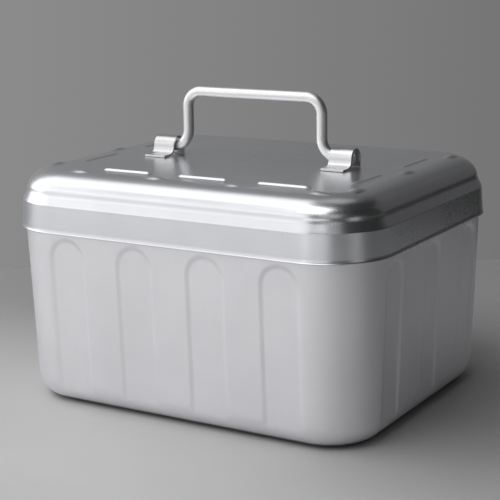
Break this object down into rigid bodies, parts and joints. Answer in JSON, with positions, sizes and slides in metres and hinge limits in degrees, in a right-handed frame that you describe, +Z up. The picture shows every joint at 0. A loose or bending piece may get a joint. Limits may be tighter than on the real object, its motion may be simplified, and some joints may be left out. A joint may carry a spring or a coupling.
{
  "type": "fishing tackle box",
  "caption": "Pressed aluminium tackle box with fluted walls, a domed lid hinged at the back, a folding rod handle and a divided tray that rises as the lid opens.",
  "frame": {"origin": "middle of the base, on the surface the box stands on", "axes": "+X to the right along the front, +Y to the hinged back, +Z up"},
  "size_m": [0.3, 0.2491, 0.2268],
  "materials": {
    "body_aluminium": "satin pearl, faint vertical grain",
    "lid_aluminium": "smooth satin, glossier on the top",
    "handle_rod": "drawn rod, satin bright",
    "clip_aluminium": "satin bright",
    "tray_aluminium": "mill finish",
    "rivet_aluminium": "plain turned",
    "hinge_steel": "zinc plated",
    "linkage_steel": "zinc plated strip",
    "spring_steel": "bright spring strip"
  },
  "bodies": {
    "case": {"body_shell": "body_aluminium", "hinge_leaf_body_left": "hinge_steel", "hinge_pin_left": "hinge_steel", "body_leaf_rivet_left_1": "rivet_aluminium", "body_leaf_rivet_left_2": "rivet_aluminium", "linkage_bar_left": "tray_aluminium", "case_pivot_rear_left": "rivet_aluminium", "case_pivot_front_left": "rivet_aluminium", "hinge_leaf_body_right": "hinge_steel", "hinge_pin_right": "hinge_steel", "body_leaf_rivet_right_1": "rivet_aluminium", "body_leaf_rivet_right_2": "rivet_aluminium", "linkage_bar_right": "tray_aluminium", "case_pivot_rear_right": "rivet_aluminium", "case_pivot_front_right": "rivet_aluminium"},
    "lid": {"lid_shell": "lid_aluminium", "catch_spring": "spring_steel", "handle_clip_left": "clip_aluminium", "hinge_leaf_lid_left": "hinge_steel", "lid_leaf_rivet_left_1": "rivet_aluminium", "lid_leaf_rivet_left_2": "rivet_aluminium", "lid_lug_left": "linkage_steel", "lid_pivot_left": "rivet_aluminium", "handle_clip_right": "clip_aluminium", "hinge_leaf_lid_right": "hinge_steel", "lid_leaf_rivet_right_1": "rivet_aluminium", "lid_leaf_rivet_right_2": "rivet_aluminium", "lid_lug_right": "linkage_steel", "lid_pivot_right": "rivet_aluminium"},
    "handle": {"handle_bail": "handle_rod"},
    "rear_arms": {"rear_arm_left": "linkage_steel", "rear_arm_right": "linkage_steel"},
    "front_arms": {"front_arm_left": "linkage_steel", "front_arm_right": "linkage_steel"},
    "tray": {"tray_pan": "tray_aluminium", "tray_divider_long": "tray_aluminium", "tray_divider_front_1": "tray_aluminium", "tray_divider_front_2": "tray_aluminium", "tray_divider_rear_1": "tray_aluminium", "tray_divider_rear_2": "tray_aluminium", "tray_divider_rear_3": "tray_aluminium", "tray_hanger_left": "linkage_steel", "tray_pivot_rear_left": "rivet_aluminium", "tray_pivot_front_left": "rivet_aluminium", "tray_hanger_right": "linkage_steel", "tray_pivot_rear_right": "rivet_aluminium", "tray_pivot_front_right": "rivet_aluminium"}
  },
  "joints": [
    {"name": "lid_hinge", "type": "hinge", "parent": "case", "child": "lid", "pos_m": [0, 0.1252, 0.1296], "axis": [-1, 0, 0], "range_deg": [0, 95]},
    {"name": "rear_arm_swing", "type": "hinge", "parent": "case", "child": "rear_arms", "pos_m": [0, 0.05, 0.102], "axis": [-1, 0, 0], "range_deg": [0, 95]},
    {"name": "front_arm_swing", "type": "hinge", "parent": "case", "child": "front_arms", "pos_m": [0, -0.01, 0.102], "axis": [-1, 0, 0], "range_deg": [0, 95]},
    {"name": "tray_level", "type": "hinge", "parent": "rear_arms", "child": "tray", "pos_m": [0, -0.01797, 0.1337], "axis": [1, 0, 0], "range_deg": [0, 95]},
    {"name": "handle_fold", "type": "hinge", "parent": "lid", "child": "handle", "pos_m": [0, 0, 0.1804], "axis": [1, 0, 0], "range_deg": [-90, 90]}
  ],
  "couplings": [
    {"joint": "rear_arm_swing", "follows": "lid_hinge", "ratio": 1},
    {"joint": "front_arm_swing", "follows": "lid_hinge", "ratio": 1},
    {"joint": "tray_level", "follows": "lid_hinge", "ratio": 1}
  ]
}
